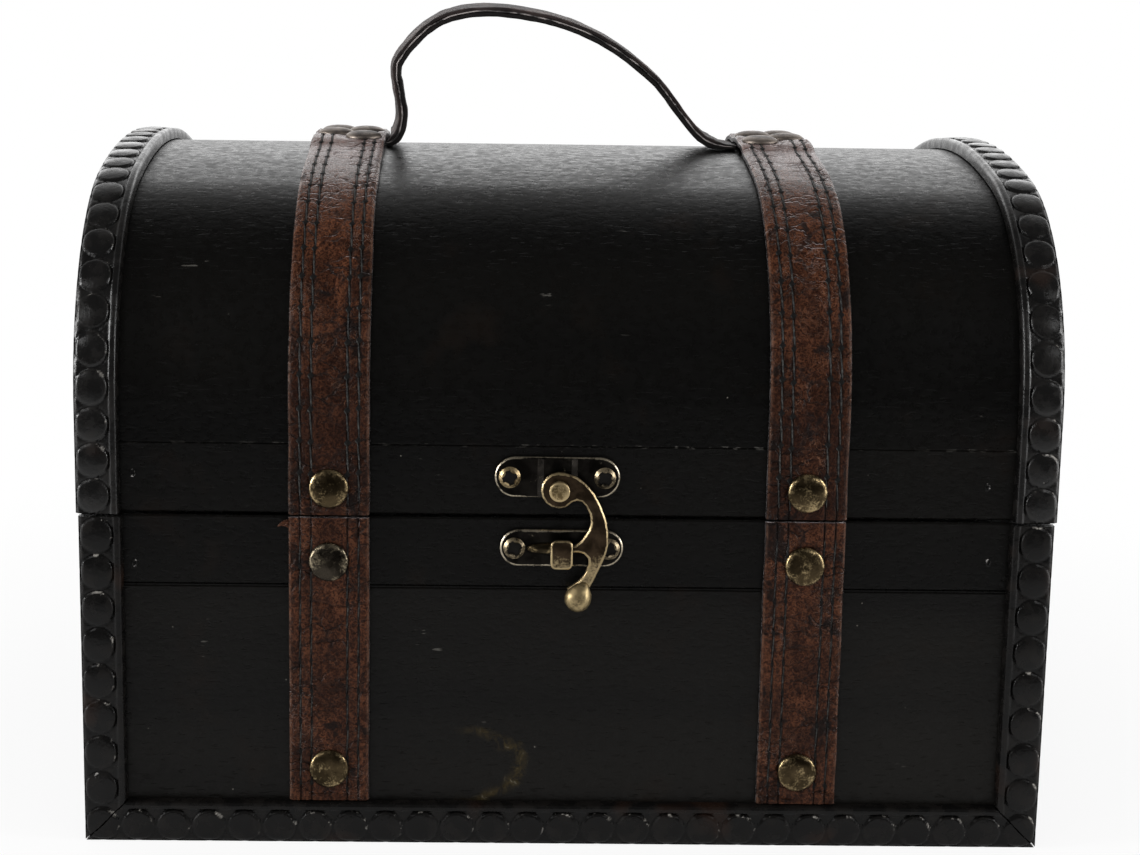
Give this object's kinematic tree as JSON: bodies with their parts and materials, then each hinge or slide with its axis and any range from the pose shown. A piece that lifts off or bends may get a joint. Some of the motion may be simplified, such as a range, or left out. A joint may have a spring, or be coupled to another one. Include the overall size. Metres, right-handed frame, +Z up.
{
  "type": "wooden jewelry box",
  "caption": "Small domed jewelry chest in black-stained wood: hinged lid, leather straps and handle, dome studs, carved coin mouldings and a swinging brass hook latch.",
  "frame": {"origin": "middle of the underside of the box", "axes": "+Z up, the front with the latch faces -Y, +X to the right of someone who looks at the front"},
  "size_m": [0.22, 0.1834, 0.1903],
  "materials": {
    "stained_wood": "black stain with a dull wax sheen, worn grey on the edges",
    "strap_leather": "mottled red-brown, wrinkled",
    "handle_leather": "dark brown with painted edges",
    "antique_brass": "antiqued, dark with bright worn edges"
  },
  "bodies": {
    "box": {"body_back_moulding_bottom": "stained_wood", "body_back_moulding_left": "stained_wood", "body_back_moulding_right": "stained_wood", "body_back_panel": "stained_wood", "body_back_strap_left": "strap_leather", "body_back_strap_right": "strap_leather", "body_back_stud_upper_left": "antique_brass", "body_back_stud_upper_right": "antique_brass", "body_bottom_panel": "stained_wood", "body_front_moulding_bottom": "stained_wood", "body_front_moulding_left": "stained_wood", "body_front_moulding_right": "stained_wood", "body_front_panel": "stained_wood", "body_front_rail": "stained_wood", "body_front_strap_left": "strap_leather", "body_front_strap_right": "strap_leather", "body_front_stud_lower_left": "antique_brass", "body_front_stud_lower_right": "antique_brass", "body_front_stud_upper_left": "antique_brass", "body_front_stud_upper_right": "antique_brass", "body_left_end": "stained_wood", "body_right_end": "stained_wood", "catch_plate": "antique_brass", "catch_screw_left": "antique_brass", "catch_screw_right": "antique_brass", "hinge_body_leaf_left": "antique_brass", "hinge_body_leaf_right": "antique_brass", "hinge_pin_left": "antique_brass", "hinge_pin_right": "antique_brass"},
    "lid": {"handle_end_left": "handle_leather", "handle_end_right": "handle_leather", "handle_stud_left_1": "antique_brass", "handle_stud_left_2": "antique_brass", "handle_stud_left_3": "antique_brass", "handle_stud_left_4": "antique_brass", "handle_stud_right_1": "antique_brass", "handle_stud_right_2": "antique_brass", "handle_stud_right_3": "antique_brass", "handle_stud_right_4": "antique_brass", "hinge_lid_leaf_left": "antique_brass", "hinge_lid_leaf_right": "antique_brass", "latch_plate": "antique_brass", "latch_rivet": "antique_brass", "latch_screw_left": "antique_brass", "latch_screw_right": "antique_brass", "lid_back_rail": "stained_wood", "lid_back_stud_left": "antique_brass", "lid_back_stud_right": "antique_brass", "lid_dome": "stained_wood", "lid_front_rail": "stained_wood", "lid_front_stud_left": "antique_brass", "lid_front_stud_right": "antique_brass", "lid_left_end": "stained_wood", "lid_left_moulding": "stained_wood", "lid_right_end": "stained_wood", "lid_right_moulding": "stained_wood", "lid_strap_left": "strap_leather", "lid_strap_right": "strap_leather"},
    "hook": {"latch_hook": "antique_brass"},
    "handle": {"handle_loop": "handle_leather"}
  },
  "joints": [
    {"name": "lid_hinge", "type": "hinge", "parent": "box", "child": "lid", "pos_m": [0, 0.0895, 0.07685], "axis": [-1, 0, 0], "range_deg": [0, 100]},
    {"name": "hook_swing", "type": "hinge", "parent": "lid", "child": "hook", "pos_m": [-0.0021, -0.0883, 0.08385], "axis": [0, -1, 0], "range_deg": [0, 150]},
    {"name": "handle_lean", "type": "hinge", "parent": "lid", "child": "handle", "pos_m": [0, 0, 0.16313], "axis": [1, 0, 0], "range_deg": [-25, 25], "stiffness_Nm_per_rad": 0.05}
  ]
}
